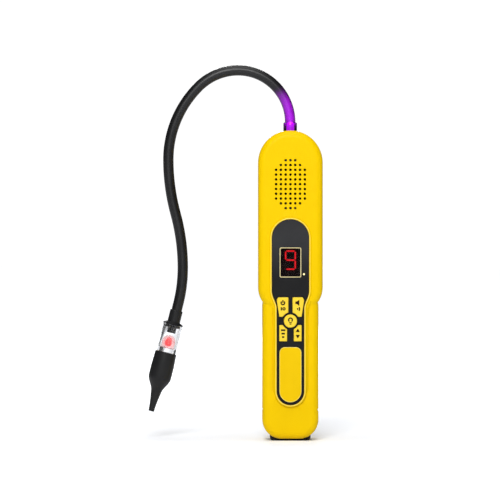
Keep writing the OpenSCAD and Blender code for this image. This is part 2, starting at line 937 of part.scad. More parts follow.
// Ultraviolet lamp in front of the gland, shining up the neck
uv_rim = 0.5;
uv_rim_t = 1;
uv_y = -gland_d / 2 - gland_lip - uv_d / 2 - uv_rim - 2 * fit;
uv_body_l = 5.2;
uv_low = head_top - wall - uv_body_l;
module uv_hole() {
    translate([0, uv_y, dome_cut_z]) cylinder(d = uv_d + 2 * fit, h = far);
}

module uv_lamp() {
    r = uv_d / 2;
    color([0.6, 0.2, 0.9]) translate([0, uv_y, 0]) lathe(concat(
        [[0, uv_low], [r + uv_rim, uv_low], [r + uv_rim, uv_low + uv_rim_t], [r, uv_low + uv_rim_t]],
        arc(0, head_top + uv_h - r, r, 0, 90)
    ));
}

// Gooseneck: bends of [radius, turn], from the gland to the sensor head
neck_bends = [[arch_r, 90], [crown_r, 45], [fall_r, 45],
    [sway_r, sway_turn], [sway_r, -sway_turn], [lead_r, -head_tilt]];
// Place and heading [x, z, angle] after a bend
function after_bend(s, b) =
    let (k = sign(b[1]), a = s[2] + b[1])
    [s[0] - k * b[0] * (sin(s[2]) - sin(a)), s[1] + k * b[0] * (cos(s[2]) - cos(a)), a];
function neck_at(n) = n == 0 ? [0, neck_start, 90] : after_bend(neck_at(n - 1), neck_bends[n - 1]);

// Points and headings [x, z, angle] along the gooseneck, from inside the gland to inside the ferrule
neck_step = 5;
neck_sides = 24;
function bend_points(n) =
    let (s = neck_at(n), b = neck_bends[n], count = ceil(abs(b[1]) / neck_step))
    [for (i = [1:count]) after_bend(s, [b[0], b[1] * i / count])];
function neck_route() = let (last = neck_at(len(neck_bends))) concat(
    [[0, neck_start - neck_root, 90], [0, neck_start, 90]],
    [for (n = [0:len(neck_bends) - 1]) each bend_points(n)],
    [[last[0] + neck_tail * cos(last[2]), last[1] + neck_tail * sin(last[2]), last[2]]]
);

// A round bar along a route in the front view
module sweep(route, d, sides) {
    rings = len(route);
    points = [for (s = route, i = [0:sides - 1])
        let (a = 360 * i / sides, out = d / 2 * cos(a))
        [s[0] - out * sin(s[2]), d / 2 * sin(a), s[1] + out * cos(s[2])]];
    sides_faces = [for (k = [0:rings - 2], i = [0:sides - 1])
        let (j = (i + 1) % sides, near = k * sides, next = near + sides)
        each [[near + i, near + j, next + j], [near + i, next + j, next + i]]];
    ends = [[for (i = [sides - 1:-1:0]) i], [for (i = [0:sides - 1]) (rings - 1) * sides + i]];
    polyhedron(points, concat(sides_faces, ends));
}

// Everything that is drawn along the sensor head's axis, which runs down local -Z
module at_head() {
    s = neck_at(len(neck_bends));
    translate([s[0], 0, s[1]]) rotate([0, head_tilt, 0]) children();
}

ferrule_floor = 2;
neck_tail = lead_l + ferrule_l - ferrule_floor;
module gooseneck() {
    color(black) sweep(neck_route(), neck_d, neck_sides);
}

// Case screws with a cross recess in the head
recess_l = 2.5;
recess_w = 0.56;
recess_depth = 0.7;
module case_screws() {
    color("silver") for (p = screw_posts) difference() {
        union() {
            rod(screw_d, p[0], p[1], screw_tip_y, screw_seat_y + screw_head_h / 2);
            rod(screw_head_d, p[0], p[1], screw_seat_y, screw_seat_y + screw_head_h);
        }
        plate(screw_seat_y + screw_head_h - recess_depth, far) translate(p) union() {
            square([recess_l, recess_w], center = true);
            square([recess_w, recess_l], center = true);
        }
    }
}

// Sensor head, from the ferrule down to the nozzle
flange_at = lead_l + ferrule_l;
cap_at = flange_at + flange_t;
nozzle_at = cap_at + cap_l;
cap_bore = cap_d - 2 * cap_wall;
spigot_d = cap_bore - 4 * fit;
spigot_r = spigot_d / 2;
small_chamfer = 0.4;

module neck_ferrule() {
    r = ferrule_d / 2;
    bore = neck_d / 2 + fit;
    color(black) at_head() lathe([
        [bore, -lead_l], [r - small_chamfer, -lead_l], [r, -lead_l - small_chamfer], [r, -flange_at],
        [duct_d / 2, -flange_at], [duct_d / 2, -neck_tail - fit], [bore, -neck_tail - fit]
    ]);
}

module sensor_holder() {
    r = flange_d / 2;
    chamfer = 1.2;
    seat = 2;
    color(black) at_head() lathe([
        [duct_d / 2, -flange_at], [ferrule_d / 2 + chamfer / 2, -flange_at], [r, -flange_at - chamfer],
        [r, -cap_at], [spigot_r, -cap_at], [spigot_r, -cap_at - seat],
        [stub_d / 2, -cap_at - seat], [stub_d / 2, -cap_at - stub_l], [duct_d / 2, -cap_at - stub_l]
    ]);
}

// Red lamp that stands on the clear cap's floor with its dome towards the stub
cap_floor_at = nozzle_at - cap_floor_t;
module alarm_lamp() {
    r = alarm_d / 2;
    rim = r + small_chamfer;
    rim_t = 1;
    color("red") at_head() translate([0, 0, -cap_floor_at]) lathe(concat(
        [[0, 0], [rim, 0], [rim, rim_t], [r, rim_t]],
        arc(0, alarm_l - r, r, 0, 90)
    ));
}

module clear_cap() {
    r = cap_d / 2;
    bore = cap_bore / 2;
    color([0.9, 0.9, 0.92, 0.4]) at_head() mirror([0, 0, 1]) lathe([
        [bore, cap_at], [r - small_chamfer, cap_at], [r, cap_at + small_chamfer], [r, nozzle_at],
        [spigot_r, nozzle_at], [spigot_r, nozzle_at + spigot_l],
        [spigot_r - cap_wall, nozzle_at + spigot_l], [spigot_r - cap_wall, cap_floor_at],
        [bore, cap_floor_at]
    ]);
}

sensor_board_t = 1;
module sensor_board() {
    color([0.05, 0.35, 0.2]) at_head() translate([0, 0, -nozzle_at - spigot_l - sensor_board_t])
        cylinder(r = spigot_r - fit, h = sensor_board_t - fit);
}

module gas_sensor() {
    side_gap = 1.4;
    r = spigot_r - side_gap;
    rim = 0.8;
    round = 0.5;
    can = 4.5;
    start = nozzle_at + spigot_l + sensor_board_t + fit;
    color("silver") at_head() mirror([0, 0, 1]) lathe([
        [0, start], [r, start], [r, start + rim], [r - round, start + rim],
        [r - round, start + can - round], [r - 2 * round, start + can], [0, start + can]
    ]);
}

// The barrel's swell, as an angle of a sine, and the power of the tip's taper
nozzle_swell = 130;
nozzle_taper = 1.6;
// Outer radius of the nozzle at a distance from its upper edge
function nozzle_r(t) =
    t <= barrel_l ?
        nozzle_top_d / 2 + (nozzle_max_d - nozzle_top_d) / 2 * sin(min(t / barrel_l * nozzle_swell, 90)) :
    t <= barrel_l + shoulder_l ?
        nozzle_neck_d / 2 + (nozzle_max_d - nozzle_neck_d) / 4
            * (1 + cos(180 * (t - barrel_l) / shoulder_l)) :
        nozzle_tip_d / 2 + (nozzle_neck_d - nozzle_tip_d) / 2
            * pow(1 - (t - barrel_l - shoulder_l) / (nozzle_l - barrel_l - shoulder_l), nozzle_taper);
nozzle_steps = 40;
module nozzle() {
    bore = spigot_r + fit;
    color([0.14, 0.14, 0.14]) at_head() mirror([0, 0, 1]) translate([0, 0, nozzle_at]) lathe(concat(
        [for (i = [0:nozzle_steps]) let (t = nozzle_l * i / nozzle_steps) [nozzle_r(t), t]],
        [[inlet_d / 2, nozzle_l], [inlet_d / 2, barrel_l + shoulder_l],
            [bore, barrel_l], [bore, 0]]
    ));
}

front_shell();
rear_shell();
base_foot();
control_panel();
label_plate();
display_frame();
display_window();
display_module();
lit_segments();
dark_segment();
indicator_lamp();
circuit_board();
switch_bases();
board_screws();
speaker_frame();
speaker_cone();
battery_cell();
battery_tabs();
charge_socket();
air_pump();
pump_hose();
uv_lamp();
neck_gland();
gooseneck();
case_screws();
neck_ferrule();
sensor_holder();
alarm_lamp();
clear_cap();
sensor_board();
gas_sensor();
nozzle();
for (name = KEYS) {
    key(name);
    plunger(name);
}
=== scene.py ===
# %% [markdown]
# # A hand-held leak detector
# The real tool is a yellow moulded housing with a keypad and a one-digit display. A black gooseneck leaves its
# dome and carries a lit sensor head. The CAD model already holds every rigid piece at its true size, so this
# lesson only dresses it: smoother surfaces, softer keys, a ribbed neck, icons, screws, finishes and light.

# %% Load the frame
import json
import math

import bmesh
import bpy
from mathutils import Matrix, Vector

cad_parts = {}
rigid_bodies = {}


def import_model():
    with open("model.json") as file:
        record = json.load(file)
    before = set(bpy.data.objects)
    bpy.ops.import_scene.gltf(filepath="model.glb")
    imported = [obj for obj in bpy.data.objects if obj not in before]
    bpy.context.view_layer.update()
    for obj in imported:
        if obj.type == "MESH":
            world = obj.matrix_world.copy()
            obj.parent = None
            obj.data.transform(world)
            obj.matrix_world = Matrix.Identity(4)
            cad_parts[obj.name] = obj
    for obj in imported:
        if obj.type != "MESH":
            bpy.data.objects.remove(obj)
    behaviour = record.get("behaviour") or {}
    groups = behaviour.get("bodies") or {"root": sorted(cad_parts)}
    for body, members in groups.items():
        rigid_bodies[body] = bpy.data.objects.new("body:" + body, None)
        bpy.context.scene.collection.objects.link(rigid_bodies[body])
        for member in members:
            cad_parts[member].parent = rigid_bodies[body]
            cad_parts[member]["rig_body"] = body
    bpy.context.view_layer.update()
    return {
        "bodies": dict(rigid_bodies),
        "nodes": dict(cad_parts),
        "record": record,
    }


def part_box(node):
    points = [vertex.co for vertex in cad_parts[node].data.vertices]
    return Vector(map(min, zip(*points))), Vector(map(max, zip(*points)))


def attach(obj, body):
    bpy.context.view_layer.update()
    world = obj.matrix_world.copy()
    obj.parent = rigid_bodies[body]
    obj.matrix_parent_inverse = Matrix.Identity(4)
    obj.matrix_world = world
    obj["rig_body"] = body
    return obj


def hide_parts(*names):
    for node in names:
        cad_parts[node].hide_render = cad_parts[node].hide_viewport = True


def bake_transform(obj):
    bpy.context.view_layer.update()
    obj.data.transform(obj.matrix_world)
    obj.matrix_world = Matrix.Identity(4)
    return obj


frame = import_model()
MM = 0.001
scene = bpy.context.scene

# %% [markdown]
# ## Camera
# The photograph was taken square to the front from far away, so lines hardly converge. A long lens two metres
# away gives the same look. One pixel of the 500 pixel frame covers 0.65 mm at the middle of the housing.

# %% Camera
PIXEL = 0.65 * MM
FRAME_PIXELS = 500
CAMERA_AWAY = 2.0
CAMERA_TILT = math.radians(0.5)
VIEW_CENTRE = Vector((-26.1, 0, 123.3)) * MM


def add_object(name, data):
    """Puts a new object into the scene."""
    thing = bpy.data.objects.new(name, data)
    scene.collection.objects.link(thing)
    return thing


camera = add_object("camera", bpy.data.cameras.new("camera"))
camera.data.lens = camera.data.sensor_width * CAMERA_AWAY / (FRAME_PIXELS * PIXEL)
camera.location = VIEW_CENTRE + CAMERA_AWAY * Vector((0, -math.cos(CAMERA_TILT), math.sin(CAMERA_TILT)))
camera.rotation_euler = (math.pi / 2 - CAMERA_TILT, 0, 0)
scene.camera = camera
print("lens:", round(camera.data.lens, 1), "mm")

# %% [markdown]
# ## Floor
# The tool stands on a white table. A wide disc takes the faint contact shadow. It glows a little far from the
# tool, so that it melts into the white paper behind. A Light Path node keeps that glow for the eye only: it lights
# nothing, or it would fill the dark sides of the tool from below.

# %% Helpers for nodes and meshes
def link_all(tree, *pairs):
    """Joins outputs to inputs in a node tree."""
    for source, target in pairs:
        tree.links.new(source, target)


def set_inputs(node, **values):
    """Sets constants on a node's own sockets; an underscore stands for a space."""
    for key, value in values.items():
        node.inputs[key.replace("_", " ")].default_value = value
    return node


def new_node(tree, kind, **values):
    return set_inputs(tree.nodes.new(kind), **values)


def new_finish(name, **values):
    """A material with a Principled shader; gives the material, its tree and the shader."""
    finish = bpy.data.materials.new(name)
    finish.use_nodes = True
    return finish, finish.node_tree, set_inputs(finish.node_tree.nodes["Principled BSDF"], **values)


def mesh_of(name, work):
    """Turns a bmesh into a mesh and frees it."""
    mesh = bpy.data.meshes.new(name)
    work.to_mesh(mesh)
    work.free()
    return mesh


# %% Floor
FLOOR_RADIUS = 8.0
FLOOR_SIDES = 96
disc = bmesh.new()
bmesh.ops.create_circle(disc, cap_ends=True, segments=FLOOR_SIDES, radius=FLOOR_RADIUS)
floor = add_object("floor", mesh_of("floor", disc))
paper, tree, table = new_finish("studio_paper", Base_Color=(0.90, 0.92, 0.96, 1), Roughness=0.9,
                                Specular_IOR_Level=0.0, Emission_Color=(1, 1, 1, 1))
where = tree.nodes.new("ShaderNodeTexCoord")
away = tree.nodes.new("ShaderNodeVectorMath")
away.operation = "LENGTH"
glow = new_node(tree, "ShaderNodeMapRange", From_Min=0.05, From_Max=0.5, To_Min=0.10, To_Max=0.55)
seen = tree.nodes.new("ShaderNodeLightPath")
only_seen = tree.nodes.new("ShaderNodeMath")
only_seen.operation = "MULTIPLY"
link_all(tree, (where.outputs["Object"], away.inputs[0]), (away.outputs["Value"], glow.inputs["Value"]),
         (glow.outputs["Result"], only_seen.inputs[0]), (seen.outputs["Is Camera Ray"], only_seen.inputs[1]),
         (only_seen.outputs["Value"], table.inputs["Emission Strength"]))
floor.data.materials.append(paper)
print("floor radius:", FLOOR_RADIUS, "m")

# %% [markdown]
# ## Light
# The camera sees white paper behind the tool, but only a dim world lights it, so the rounded sides fall off to a
# darker olive as they do in the photograph. A softbox above the camera lights the front. It stands near enough for
# the grip to be a little darker than the head. A weaker softbox lights the back, which the front view doesn't
# show, and a very soft sun overhead lights the floor evenly out to the horizon.

# %% World
world = bpy.data.worlds.new("studio")
scene.world = world
world.use_nodes = True
sky = world.node_tree
ambient = set_inputs(sky.nodes["Background"], Color=(1, 1, 1, 1), Strength=0.06)
backdrop = new_node(sky, "ShaderNodeBackground", Color=(1, 1, 1, 1), Strength=1.05)
rays = sky.nodes.new("ShaderNodeLightPath")
choose = sky.nodes.new("ShaderNodeMixShader")
link_all(sky, (rays.outputs["Is Camera Ray"], choose.inputs[0]), (ambient.outputs[0], choose.inputs[1]),
         (backdrop.outputs[0], choose.inputs[2]),
         (choose.outputs[0], sky.nodes["World Output"].inputs["Surface"]))
scene.view_settings.view_transform = "Standard"
print("world:", world.name)

# %% Softboxes and sun
HOUSING_MIDDLE = Vector((0, 0, 110)) * MM


def aim(thing, target):
    """Turns a light so that it points at a place."""
    thing.rotation_euler = (target - thing.location).to_track_quat("-Z", "Y").to_euler()


def softbox(name, place, size, power):
    """A square area light that points at the middle of the housing."""
    lamp = add_object(name, bpy.data.lights.new(name, "AREA"))
    lamp.data.size = size
    lamp.data.energy = power
    lamp.location = place
    aim(lamp, HOUSING_MIDDLE)


softbox("front_softbox", Vector((-0.14, -1.3, 0.9)), 0.45, 16.4)
softbox("back_softbox", Vector((0, 2.0, 0.8)), 0.5, 14)
overhead = add_object("overhead", bpy.data.lights.new("overhead", "SUN"))
overhead.data.energy = 1.5
overhead.data.angle = math.radians(50)
overhead.rotation_euler = (math.radians(6), 0, 0)

# %% [markdown]
# ## Finishes
# Every surface here is moulded, printed, rubber or metal. One helper makes them all: a slow cloud of two close
# colours, a fine grain as bump, and a little change in roughness. The pattern reads Object coordinates. Each
# piece sits at the origin, so the pattern stays put when a joint moves.

# %% A helper for grained finishes
def grain_finish(name, light, dark, roughness, cloud=60, grain=2500, bump=0.05, swing=0.08, **values):
    """A surface with a two-tone cloud, a fine grain and uneven roughness; values go to the shader."""
    finish, tree, shader = new_finish(name, **values)
    where = tree.nodes.new("ShaderNodeTexCoord").outputs["Object"]
    clouds = new_node(tree, "ShaderNodeTexNoise", Scale=cloud, Detail=3.0)
    ramp = tree.nodes.new("ShaderNodeValToRGB")
    for stop, place, colour in zip(ramp.color_ramp.elements, (0.35, 0.68), (dark, light)):
        stop.position = place
        stop.color = (*colour, 1)
    specks = new_node(tree, "ShaderNodeTexNoise", Scale=grain, Detail=2.0)
    spread = new_node(tree, "ShaderNodeMapRange", To_Min=roughness - swing, To_Max=roughness + swing)
    relief = new_node(tree, "ShaderNodeBump", Strength=bump, Distance=0.1 * MM)
    link_all(tree, (where, clouds.inputs["Vector"]), (where, specks.inputs["Vector"]),
             (clouds.outputs["Fac"], ramp.inputs["Fac"]), (ramp.outputs["Color"], shader.inputs["Base Color"]),
             (clouds.outputs["Fac"], spread.inputs["Value"]),
             (spread.outputs["Result"], shader.inputs["Roughness"]),
             (specks.outputs["Fac"], relief.inputs["Height"]), (relief.outputs["Normal"], shader.inputs["Normal"]))
    return finish


# %% Plastics and rubber
finishes = {}


def add_finish(name, *colours, **values):
    finishes[name] = grain_finish(name, *colours, **values)


add_finish("yellow_shell", (0.86, 0.562, 0.0005), (0.84, 0.542, 0.0005), 0.42, Specular_IOR_Level=0.05)
add_finish("yellow_label", (0.84, 0.545, 0.002), (0.82, 0.525, 0.002), 0.42, bump=0.02, Specular_IOR_Level=0.05)
add_finish("yellow_key", (0.92, 0.66, 0.05), (0.88, 0.62, 0.04), 0.42, bump=0.03, Specular_IOR_Level=0.1)
add_finish("charcoal_panel", (0.038, 0.038, 0.039), (0.032, 0.032, 0.034), 0.36, bump=0.08,
           Specular_IOR_Level=0.08)
add_finish("pale_frame", (0.72, 0.62, 0.33), (0.66, 0.56, 0.28), 0.4, Specular_IOR_Level=0.2)
add_finish("black_plastic", (0.009, 0.009, 0.010), (0.006, 0.006, 0.007), 0.42, Specular_IOR_Level=0.2)
add_finish("black_rubber", (0.009, 0.009, 0.0095), (0.006, 0.006, 0.0065), 0.46, bump=0.1,
           Specular_IOR_Level=0.28)
add_finish("neck_sleeve", (0.005, 0.005, 0.0055), (0.0035, 0.0035, 0.004), 0.4, bump=0.01,
           Specular_IOR_Level=0.4)
add_finish("dark_segment", (0.05, 0.010, 0.010), (0.04, 0.008, 0.008), 0.4)
add_finish("speaker_paper", (0.010, 0.010, 0.011), (0.006, 0.006, 0.007), 0.85, cloud=500)
add_finish("cell_wrap", (0.030, 0.12, 0.35), (0.024, 0.10, 0.30), 0.35)
add_finish("hose_clear", (0.70, 0.70, 0.66), (0.62, 0.62, 0.58), 0.35)
add_finish("board_green", (0.020, 0.16, 0.07), (0.012, 0.11, 0.05), 0.4, cloud=300)
add_finish("icon_print", (0.030, 0.011, 0.003), (0.022, 0.008, 0.002), 0.6, cloud=900, Specular_IOR_Level=0.1)
# Pale glossy yellow for the beads round the panel and the label: a painted highlight.
add_finish("bead_gloss", (0.95, 0.76, 0.16), (0.92, 0.72, 0.13), 0.28, bump=0.0)
print("plastics and rubber:", len(finishes))

# %% Metals, clear plastics and lamps
add_finish("steel", (0.62, 0.62, 0.63), (0.52, 0.52, 0.53), 0.3, cloud=900, Metallic=1.0)
add_finish("coated_steel", (0.008, 0.008, 0.009), (0.005, 0.005, 0.006), 0.5)
add_finish("pump_metal", (0.58, 0.58, 0.60), (0.48, 0.48, 0.50), 0.36, cloud=400, Metallic=1.0)
add_finish("contact_gold", (0.85, 0.58, 0.20), (0.78, 0.50, 0.15), 0.25, cloud=900, Metallic=1.0)
add_finish("smoked_window", (0.010, 0.005, 0.005), (0.007, 0.003, 0.003), 0.08, bump=0.0, swing=0.02,
           Specular_IOR_Level=0.08, Alpha=0.45)
add_finish("clear_plastic", (0.98, 0.98, 0.98), (0.965, 0.965, 0.97), 0.06, bump=0.01, swing=0.02,
           Transmission_Weight=0.985, IOR=1.25)
add_finish("red_segment", (0.5, 0.008, 0.012), (0.4, 0.005, 0.008), 0.3,
           Emission_Color=(1, 0.012, 0.02, 1), Emission_Strength=2.2)
add_finish("lamp_yellow", (0.8, 0.76, 0.4), (0.76, 0.72, 0.36), 0.25,
           Emission_Color=(1, 0.85, 0.40, 1), Emission_Strength=0.8)
add_finish("lamp_violet", (0.006, 0.0, 0.010), (0.004, 0.0, 0.008), 0.3,
           Emission_Color=(0.43, 0.001, 0.75, 1), Emission_Strength=1.0)
add_finish("lamp_red", (0.98, 0.86, 0.85), (0.96, 0.83, 0.82), 0.1, Transmission_Weight=0.99, IOR=1.15,
           Emission_Color=(1, 0.1, 0.1, 1), Emission_Strength=0.06)
add_finish("lamp_core", (0.3, 0.004, 0.006), (0.25, 0.003, 0.005), 0.5,
           Emission_Color=(1, 0.02, 0.03, 1), Emission_Strength=1.1)
add_finish("lamp_bloom", (0.05, 0.005, 0.005), (0.04, 0.004, 0.004), 0.6,
           Emission_Color=(1, 0.04, 0.05, 1), Emission_Strength=1.0, Alpha=0.5)
add_finish("lamp_halo", (0.10, 0.02, 0.02), (0.08, 0.015, 0.015), 0.6,
           Emission_Color=(1, 0.25, 0.25, 1), Emission_Strength=1.0, Alpha=0.2)
print("finishes:", len(finishes))

# %% [markdown]
# ## Painted sheen on the panel
# The panel is a printed film. Its colour is painted paler above the display and nearly black round the keys:
# painted sheen, the reflection of the light from above put into its colour. The height of a point, mapped to a
# smooth step, scales its colour.

# %% Paint the sheen on the panel
SHEEN_LOW, SHEEN_HIGH = 102 * MM, 132 * MM
SHEEN_SHARE = 0.40
tree = finishes["charcoal_panel"].node_tree
shader = tree.nodes["Principled BSDF"]
colour = shader.inputs["Base Color"].links[0].from_socket
where = tree.nodes.new("ShaderNodeTexCoord")
split = tree.nodes.new("ShaderNodeSeparateXYZ")
# Painted sheen: the panel's colour is scaled from a share at the bottom up to full at the top.
painted_sheen = new_node(tree, "ShaderNodeMapRange", From_Min=SHEEN_LOW, From_Max=SHEEN_HIGH, To_Min=SHEEN_SHARE, To_Max=1.0)
painted_sheen.interpolation_type = "SMOOTHSTEP"
scaled = tree.nodes.new("ShaderNodeVectorMath")
scaled.operation = "SCALE"
link_all(tree, (where.outputs["Object"], split.inputs[0]), (split.outputs["Z"], painted_sheen.inputs["Value"]),
         (painted_sheen.outputs["Result"], scaled.inputs["Scale"]), (colour, scaled.inputs[0]),
         (scaled.outputs["Vector"], shader.inputs["Base Color"]))
print("fade in mm:", round(SHEEN_LOW / MM), "to", round(SHEEN_HIGH / MM))

# %% [markdown]
# ## Put a finish on each CAD node
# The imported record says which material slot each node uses. A slot and a finish share a name here, so one loop
# dresses the whole frame. Nodes that need a softer surface are replaced in later steps.

# %% Assign finishes
slot_of = {part["node"]: part["material_slot"] for part in frame["record"]["subparts"]}
for node, part in frame["nodes"].items():
    part.data.materials.clear()
    part.data.materials.append(finishes[slot_of[node]])
print("dressed:", len(slot_of), "nodes")

# %% [markdown]
# ## Smooth shells and turned pieces
# A CAD mesh arrives as loose flat triangles, which show as facets on rounded edges. A copy is merged, shaded
# smooth below a sharp-edge angle, and given weighted normals, so broad flat faces stay flat while the rounded
# edges flow into them. The angle is small enough to keep the crease at the waist. The copy then stands for its
# node on the same body.

# %% Helpers for replacing a node
SHARP = math.radians(17)
MERGE = 0.001 * MM


def plain_mesh(thing):
    """Applies a piece's modifiers, so that what is left is one plain mesh."""
    evaluated = thing.evaluated_get(bpy.context.evaluated_depsgraph_get())
    mesh = bpy.data.meshes.new_from_object(evaluated)
    thing.modifiers.clear()
    thing.data = mesh
    return thing


def weigh_normals(thing):
    """Lets broad faces set the shading; the last modifier before a piece becomes a plain mesh."""
    weighted = thing.modifiers.new("weighted", "WEIGHTED_NORMAL")
    weighted.keep_sharp = True
    return plain_mesh(thing)


def stand_for(thing, *nodes):
    """The piece rides with the nodes' body and hides them."""
    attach(thing, frame["nodes"][nodes[0]]["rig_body"])
    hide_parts(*nodes)
    return thing


def smooth_copy(node):
    """A merged and smoothly shaded copy of a CAD node."""
    work = bmesh.new()
    work.from_mesh(frame["nodes"][node].data)
    bmesh.ops.remove_doubles(work, verts=work.verts, dist=MERGE)
    mesh = mesh_of(node + "_smooth", work)
    mesh.materials.append(finishes[slot_of[node]])
    mesh.shade_smooth()
    mesh.set_sharp_from_angle(angle=SHARP)
    return stand_for(weigh_normals(add_object(mesh.name, mesh)), node)


# %% Smooth the housing and the turned pieces
for node in ("front_shell", "rear_shell", "base_foot", "neck_gland", "uv_lamp", "neck_ferrule", "sensor_holder",
             "alarm_lamp", "clear_cap", "gas_sensor", "nozzle", "speaker_cone", "speaker_frame", "indicator_lamp"):
    copy = smooth_copy(node)
    print(copy.name, len(copy.data.polygons), "faces")

# %% [markdown]
# ## Ribbed gooseneck
# The neck is a spiral conduit in a black sleeve, so faint rings run round it all the way. Geometry Nodes fit this
# well: the route is one curve, and the tree sweeps a circle along it whose size swells and shrinks with the
# length travelled. The route repeats the six bends of the CAD model. The real neck bends between the two bodies;
# the swept piece is put on neither.

# %% Helpers for Geometry Nodes
def new_tree(name, **inputs):
    """A tree with a Geometry input and output, and named inputs for sizes."""
    tree = bpy.data.node_groups.new(name, "GeometryNodeTree")
    tree.interface.new_socket("Geometry", in_out="INPUT", socket_type="NodeSocketGeometry")
    tree.interface.new_socket("Geometry", in_out="OUTPUT", socket_type="NodeSocketGeometry")
    for key, kind in inputs.items():
        tree.interface.new_socket(key, in_out="INPUT", socket_type="NodeSocket" + kind)
    return tree, tree.nodes.new("NodeGroupInput").outputs, tree.nodes.new("NodeGroupOutput").inputs


def math_node(tree, operation, first, second=None):
    """A Math node fed by sockets or numbers; gives its output."""
    node = tree.nodes.new("ShaderNodeMath")
    node.operation = operation
    for socket, value in zip(node.inputs, (first, second)):
        if hasattr(value, "is_linked"):
            tree.links.new(value, socket)
        elif value is not None:
            socket.default_value = value
    return node.outputs[0]


def finish_tree(tree, given, result, made):
    """Ends a tree in Realize Instances and Set Material."""
    real = tree.nodes.new("GeometryNodeRealizeInstances")
    paint = tree.nodes.new("GeometryNodeSetMaterial")
    link_all(tree, (made, real.inputs["Geometry"]), (real.outputs["Geometry"], paint.inputs["Geometry"]),
             (given["Finish"], paint.inputs["Material"]), (paint.outputs["Geometry"], result["Geometry"]))


def run_tree(thing, tree, **values):
    """Runs a tree on a piece with these input values and leaves a plain mesh."""
    modifier = thing.modifiers.new(tree.name, "NODES")
    modifier.node_group = tree
    for item in tree.interface.items_tree:
        if item.in_out == "INPUT" and item.name in values:
            modifier[item.identifier] = values[item.name]
    return plain_mesh(thing)


# %% The neck's route
NECK_ROOT = 7.0
NECK_TAIL = 10.4
NECK_BENDS = ((33.8, 90), (36.4, 45), (67, 45), (133.5, 15.24), (133.5, -15.24), (95, -14.2))
BEND_STEP = 1.5


def box_mm(node):
    """Both corners of a CAD node's box, in millimetres."""
    return [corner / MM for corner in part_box(node)]


def neck_route(start):
    """Points [x, z] down the middle of the neck, in millimetres, from the gland to the ferrule."""
    x, z, heading = 0.0, start, 90.0
    points = [(x, z - NECK_ROOT), (x, z)]
    for radius, turn in NECK_BENDS:
        side = math.copysign(1, turn)
        steps = math.ceil(abs(turn) / BEND_STEP)
        a = math.radians(heading)
        for i in range(1, steps + 1):
            b = math.radians(heading + turn * i / steps)
            points.append((x - side * radius * (math.sin(a) - math.sin(b)),
                           z + side * radius * (math.cos(a) - math.cos(b))))
        (x, z), heading = points[-1], heading + turn
    end = math.radians(heading)
    return points + [(x + NECK_TAIL * math.cos(end), z + NECK_TAIL * math.sin(end))]


route = neck_route(box_mm("neck_gland")[1].z)
print("neck length:", round(sum(math.dist(p, q) for p, q in zip(route, route[1:])), 1), "mm")

# %% A tree that sweeps a ribbed tube
sweep_tree, given, result = new_tree("ribbed_sweep", Radius="Float", Pitch="Float", Depth="Float", Step="Float",
                                     Sides="Int", Finish="Material")
to_curve = sweep_tree.nodes.new("GeometryNodeMeshToCurve")
resample = sweep_tree.nodes.new("GeometryNodeResampleCurve")
resample.mode = "LENGTH"
travel = sweep_tree.nodes.new("GeometryNodeSplineParameter").outputs["Length"]
turns = math_node(sweep_tree, "DIVIDE", travel, given["Pitch"])
wave = math_node(sweep_tree, "SINE", math_node(sweep_tree, "MULTIPLY", turns, 2 * math.pi))
dip = math_node(sweep_tree, "MULTIPLY", math_node(sweep_tree, "SUBTRACT", wave, 1.0), given["Depth"])
circle = sweep_tree.nodes.new("GeometryNodeCurvePrimitiveCircle")
sweep = new_node(sweep_tree, "GeometryNodeCurveToMesh", Fill_Caps=True)
smooth = sweep_tree.nodes.new("GeometryNodeSetShadeSmooth")
link_all(sweep_tree, (given["Geometry"], to_curve.inputs["Mesh"]),
         (to_curve.outputs["Curve"], resample.inputs["Curve"]),
         (given["Step"], resample.inputs["Length"]), (given["Sides"], circle.inputs["Resolution"]),
         (given["Radius"], circle.inputs["Radius"]), (resample.outputs["Curve"], sweep.inputs["Curve"]),
         (circle.outputs["Curve"], sweep.inputs["Profile Curve"]),
         (math_node(sweep_tree, "ADD", dip, 1.0), sweep.inputs["Scale"]),
         (sweep.outputs["Mesh"], smooth.inputs["Geometry"]))
finish_tree(sweep_tree, given, result, smooth.outputs["Geometry"])
print("tree:", sweep_tree.name, len(sweep_tree.nodes), "nodes")

# %% Run it on the route
RIB_PITCH = 1.3 * MM
RIB_DEPTH = 0.004
RINGS_PER_RIB = 6
NECK_SIDES = 28


def path_piece(name, points, y, closed):
    """A line of edges through [x, z] points at one depth, in millimetres, ready for the sweep."""
    last = len(points) if closed else len(points) - 1
    line = bpy.data.meshes.new(name)
    line.from_pydata([Vector((x, y, z)) * MM for x, z in points],
                     [(i, (i + 1) % len(points)) for i in range(last)], [])
    return add_object(name, line)


neck = run_tree(path_piece("ribbed_gooseneck", route, 0, False), sweep_tree, Radius=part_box("gooseneck")[1].x,
                Pitch=RIB_PITCH, Depth=RIB_DEPTH / 2, Step=RIB_PITCH / RINGS_PER_RIB, Sides=NECK_SIDES,
                Finish=finishes["neck_sleeve"])
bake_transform(neck)
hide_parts("gooseneck")
print("neck:", len(neck.data.polygons), "faces")

# %% [markdown]
# ## Key caps
# The five keys are soft moulded caps with rounded edges. The front view of each key is one closed outline, and the
# four outer keys leave a ring free round the round one. The outline is raised into a block, and a bevel then rounds
# each edge and corner by one width. The bevel skips edges of a shallow angle, so the curved side stays one sweep.
# The CAD keys have a hidden lip that keeps them in. Their boxes, less that lip, give most of the outlines.

# %% Sizes of the keys, in millimetres
KEY_LIP = 0.35
UPPER_OUT, UPPER_OUT_LOW = 8.9, 7.2
UPPER_CHAMFER = (1.0, 1.8)
RING_RADIUS = 5.6
RING_PARTS = 5
ROUND_KEY_RADIUS = 4.25
ROUND_KEY_SIDES = 48

round_low, round_high = box_mm("key_round")
key_mid = (round_low.z + round_high.z) / 2
key_front, key_back = round_low.y, round_high.y


